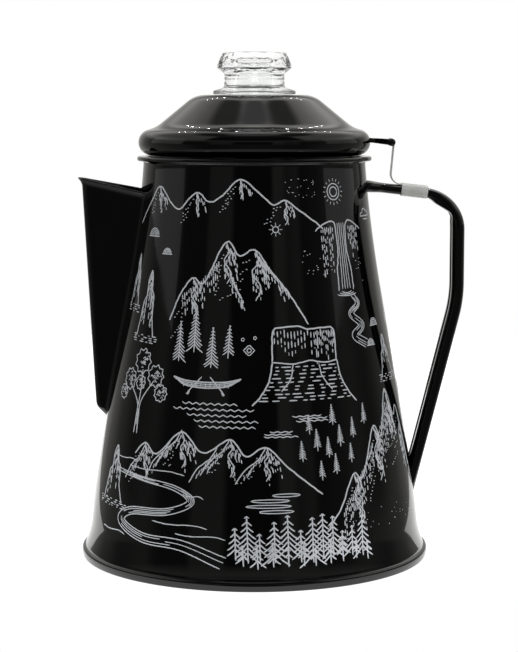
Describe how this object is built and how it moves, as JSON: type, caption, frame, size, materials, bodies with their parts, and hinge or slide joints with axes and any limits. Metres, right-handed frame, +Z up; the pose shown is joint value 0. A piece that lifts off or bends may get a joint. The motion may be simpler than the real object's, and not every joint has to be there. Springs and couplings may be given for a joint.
{
  "type": "coffee percolator",
  "caption": "Enamelled camping coffee percolator: tapered pot with spout, strap handle, hinged domed lid with glass knob, pump tube and basket inside.",
  "frame": {"origin": "centre of the pot's base, on the plane that its seam bead stands on", "axes": "+Z up along the pot's axis, +X towards the handle and the lid's hinge, -X towards the spout, and the lid's hinge pin lies along Y"},
  "size_m": [0.1687, 0.153, 0.2199],
  "materials": {
    "black_enamel": "gloss",
    "white_print": "satin",
    "steel_trim": "polished",
    "clear_glass": "gloss",
    "aluminium": "satin"
  },
  "bodies": {
    "pot": {"pot_shell": "black_enamel", "base_plate": "black_enamel", "spout": "black_enamel", "handle_strap": "black_enamel", "handle_ferrule": "steel_trim", "hinge_leaf": "steel_trim"},
    "lid": {"lid_shell": "black_enamel", "lid_collar": "black_enamel", "lid_hinge_tab": "black_enamel", "hinge_pin": "steel_trim"},
    "knob": {"glass_knob": "clear_glass"},
    "pump": {"pump_tube": "aluminium", "pump_bell": "aluminium", "valve_stop": "aluminium", "stem_collar": "aluminium"},
    "valve": {"valve_washer": "steel_trim"},
    "basket": {"basket_cup": "aluminium", "basket_guide": "aluminium"},
    "spreader": {"spreader_plate": "aluminium"}
  },
  "joints": [
    {"name": "lid_hinge", "type": "hinge", "parent": "pot", "child": "lid", "pos_m": [0.0595, 0, 0.1809], "axis": [0, 1, 0], "range_deg": [0, 148]},
    {"name": "knob_twist", "type": "hinge", "parent": "lid", "child": "knob", "pos_m": [0, 0, 0.2013], "axis": [0, 0, 1], "range_deg": [0, 60]},
    {"name": "pump_lift", "type": "slide", "parent": "pot", "child": "pump", "axis": [0, 0, 1], "range_m": [0, 0.012]},
    {"name": "valve_lift", "type": "slide", "parent": "pump", "child": "valve", "axis": [0, 0, 1], "range_m": [0, 0.004]},
    {"name": "basket_lift", "type": "slide", "parent": "pump", "child": "basket", "axis": [0, 0, 1], "range_m": [0, 0.01]},
    {"name": "spreader_lift", "type": "slide", "parent": "basket", "child": "spreader", "axis": [0, 0, 1], "range_m": [0, 0.004]}
  ]
}
